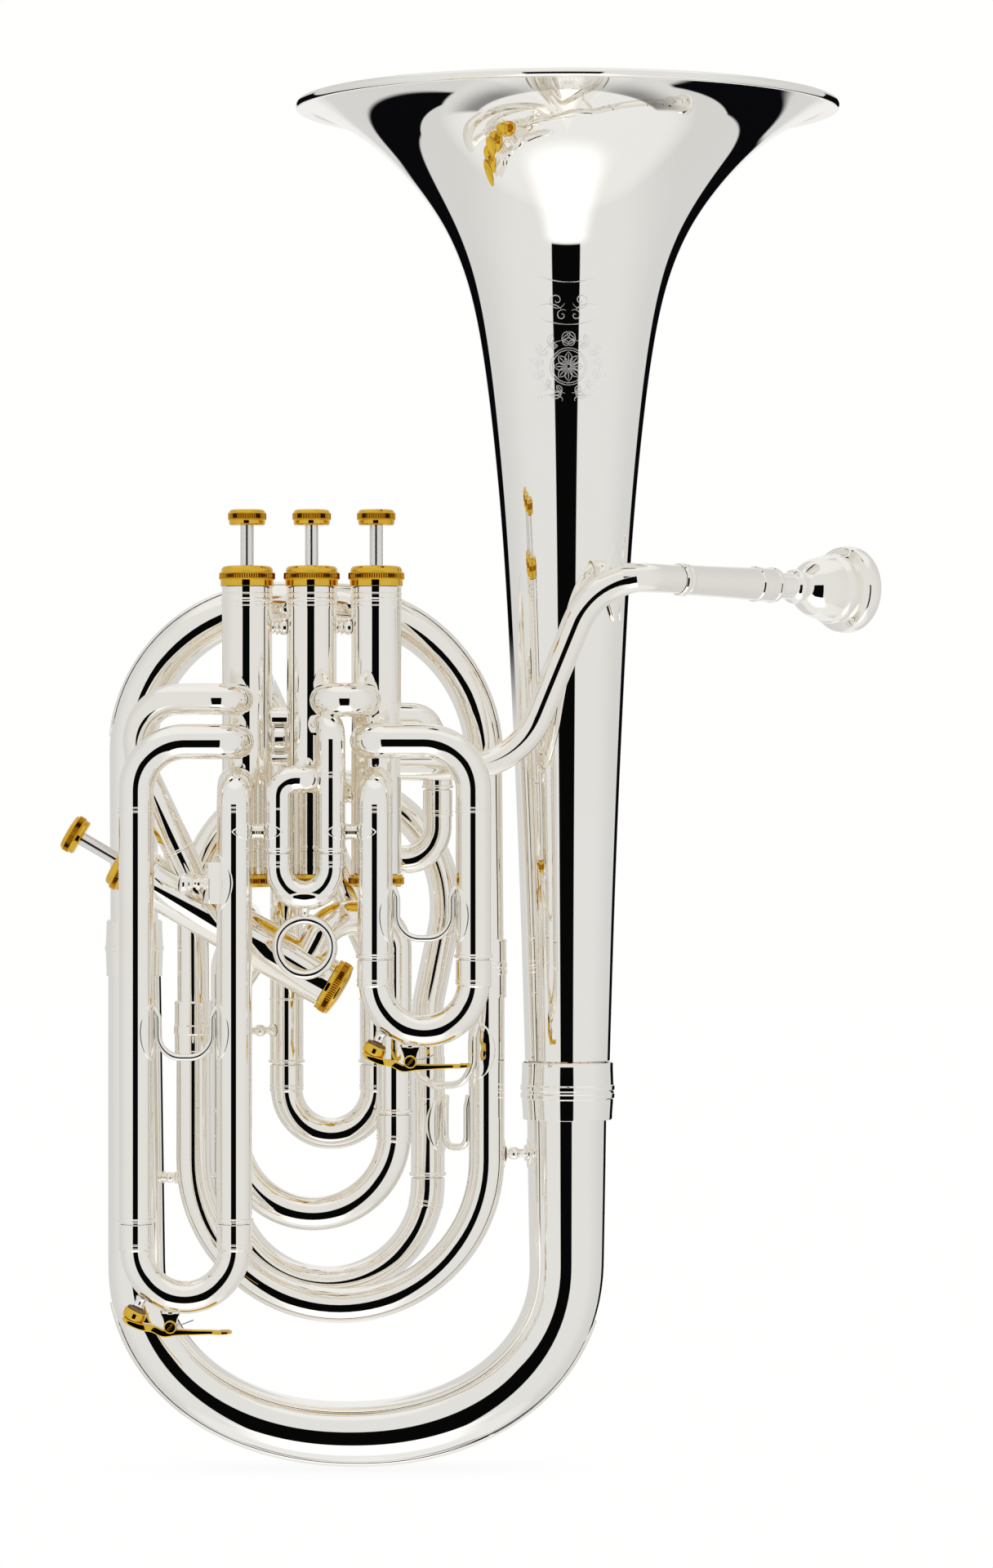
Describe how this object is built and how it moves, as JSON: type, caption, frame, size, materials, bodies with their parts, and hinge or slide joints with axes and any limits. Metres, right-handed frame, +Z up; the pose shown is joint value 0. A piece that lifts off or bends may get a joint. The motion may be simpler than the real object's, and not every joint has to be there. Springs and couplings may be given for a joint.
{
  "type": "euphonium",
  "caption": "Upright-bell four-valve compensating brass horn with side leadpipe, pull-out valve slides, slanted fourth valve, water keys and a removable mouthpiece.",
  "frame": {"origin": "middle of the footprint at the lowest point of the bottom bow's guard", "axes": "+Z up along the bell, -Y towards the valve slides' side, +X towards the mouthpiece"},
  "size_m": [0.4208, 0.2798, 0.7023],
  "materials": {
    "polished_silver_plate": "mirror-polished silver plate",
    "satin_silver": "satin plated piston and stem",
    "gold_plate": "polished gold plate with knurled bands",
    "spring_steel": "drawn spring wire"
  },
  "bodies": {
    "horn": {"bell": "polished_silver_plate", "bell_ferrule": "polished_silver_plate", "bottom_bow": "polished_silver_plate", "bottom_bow_guard": "polished_silver_plate", "left_ferrule": "polished_silver_plate", "top_bow": "polished_silver_plate", "top_bow_guard": "polished_silver_plate", "right_ferrule": "polished_silver_plate", "second_bow": "polished_silver_plate", "inner_ferrule": "polished_silver_plate", "inner_top_bow": "polished_silver_plate", "leadpipe": "polished_silver_plate", "receiver": "polished_silver_plate", "leadpipe_stay": "polished_silver_plate", "casing_1": "polished_silver_plate", "casing_2": "polished_silver_plate", "casing_3": "polished_silver_plate", "casing_4": "polished_silver_plate", "casing_brace_12": "polished_silver_plate", "casing_brace_23": "polished_silver_plate", "slide_post_12": "polished_silver_plate", "slide_post_23": "polished_silver_plate", "bell_strut": "polished_silver_plate", "branch_strut": "polished_silver_plate", "valve_4_strut": "polished_silver_plate", "tuning_leg": "polished_silver_plate", "comp_3_left_leg": "polished_silver_plate", "comp_3_right_leg": "polished_silver_plate", "comp_1_left_leg": "polished_silver_plate", "top_cap_1": "gold_plate", "bottom_cap_1": "gold_plate", "spring_1": "spring_steel", "top_cap_2": "gold_plate", "bottom_cap_2": "gold_plate", "spring_2": "spring_steel", "top_cap_3": "gold_plate", "bottom_cap_3": "gold_plate", "spring_3": "spring_steel", "top_cap_4": "gold_plate", "bottom_cap_4": "gold_plate", "spring_4": "spring_steel"},
    "slide_1": {"slide_1_bow": "polished_silver_plate"},
    "slide_2": {"slide_2_bow": "polished_silver_plate", "slide_2_ring": "polished_silver_plate"},
    "slide_3": {"slide_3_bow": "polished_silver_plate"},
    "slide_4": {"slide_4_bow": "polished_silver_plate"},
    "main_tuning_slide": {"tuning_slide_bow": "polished_silver_plate"},
    "comp_slide_3": {"comp_slide_3_bow": "polished_silver_plate"},
    "comp_slide_1": {"comp_slide_1_bow": "polished_silver_plate"},
    "water_key_1_lever": {"water_key_1": "gold_plate"},
    "water_key_3_lever": {"water_key_3": "gold_plate"},
    "mouthpiece_piece": {"mouthpiece": "polished_silver_plate"},
    "valve_1_piston": {"piston_1": "satin_silver", "finger_button_1": "gold_plate"},
    "valve_2_piston": {"piston_2": "satin_silver", "finger_button_2": "gold_plate"},
    "valve_3_piston": {"piston_3": "satin_silver", "finger_button_3": "gold_plate"},
    "valve_4_piston": {"piston_4": "satin_silver", "finger_button_4": "gold_plate"}
  },
  "joints": [
    {"name": "valve_1_press", "type": "slide", "parent": "horn", "child": "valve_1_piston", "axis": [0, 0, -1], "range_m": [0, 0.0175], "stiffness_N_per_m": 150, "springref_m": -0.03, "deforming": ["spring_1"]},
    {"name": "valve_2_press", "type": "slide", "parent": "horn", "child": "valve_2_piston", "axis": [0, 0, -1], "range_m": [0, 0.0175], "stiffness_N_per_m": 150, "springref_m": -0.03, "deforming": ["spring_2"]},
    {"name": "valve_3_press", "type": "slide", "parent": "horn", "child": "valve_3_piston", "axis": [0, 0, -1], "range_m": [0, 0.0175], "stiffness_N_per_m": 150, "springref_m": -0.03, "deforming": ["spring_3"]},
    {"name": "valve_4_press", "type": "slide", "parent": "horn", "child": "valve_4_piston", "axis": [0.8616, 0, -0.5075], "range_m": [0, 0.0175], "stiffness_N_per_m": 150, "springref_m": -0.03, "deforming": ["spring_4"]},
    {"name": "slide_1_pull", "type": "slide", "parent": "horn", "child": "slide_1", "axis": [0, 0, -1], "range_m": [0, 0.055], "stiffness_N_per_m": 8, "springref_m": -0.25},
    {"name": "slide_2_pull", "type": "slide", "parent": "horn", "child": "slide_2", "axis": [0, 0, -1], "range_m": [0, 0.018], "stiffness_N_per_m": 8, "springref_m": -0.25},
    {"name": "slide_3_pull", "type": "slide", "parent": "horn", "child": "slide_3", "axis": [0, 0, -1], "range_m": [0, 0.095], "stiffness_N_per_m": 8, "springref_m": -0.25},
    {"name": "slide_4_pull", "type": "slide", "parent": "horn", "child": "slide_4", "axis": [0, 0, -1], "range_m": [0, 0.04], "stiffness_N_per_m": 8, "springref_m": -0.25},
    {"name": "main_tuning_pull", "type": "slide", "parent": "horn", "child": "main_tuning_slide", "axis": [0, 0, -1], "range_m": [0, 0.045], "stiffness_N_per_m": 8, "springref_m": -0.25},
    {"name": "comp_slide_3_pull", "type": "slide", "parent": "horn", "child": "comp_slide_3", "axis": [0, 0, -1], "range_m": [0, 0.028], "stiffness_N_per_m": 8, "springref_m": -0.25},
    {"name": "comp_slide_1_pull", "type": "slide", "parent": "horn", "child": "comp_slide_1", "axis": [0, 0, -1], "range_m": [0, 0.01], "stiffness_N_per_m": 8, "springref_m": -0.25},
    {"name": "mouthpiece_pull", "type": "slide", "parent": "horn", "child": "mouthpiece_piece", "axis": [0.7312, 0.6819, -0.0175], "range_m": [0, 0.042], "stiffness_N_per_m": 8, "springref_m": -0.25},
    {"name": "water_key_1_turn", "type": "hinge", "parent": "slide_1", "child": "water_key_1_lever", "pos_m": [-0.03329, -0.09, 0.21366], "axis": [0, -1, 0], "range_deg": [0, 12], "stiffness_Nm_per_rad": 0.05, "springref_deg": -11.46},
    {"name": "water_key_3_turn", "type": "hinge", "parent": "slide_3", "child": "water_key_3_lever", "pos_m": [-0.15259, -0.09, 0.08186], "axis": [0, -1, 0], "range_deg": [0, 12], "stiffness_Nm_per_rad": 0.05, "springref_deg": -11.46}
  ]
}
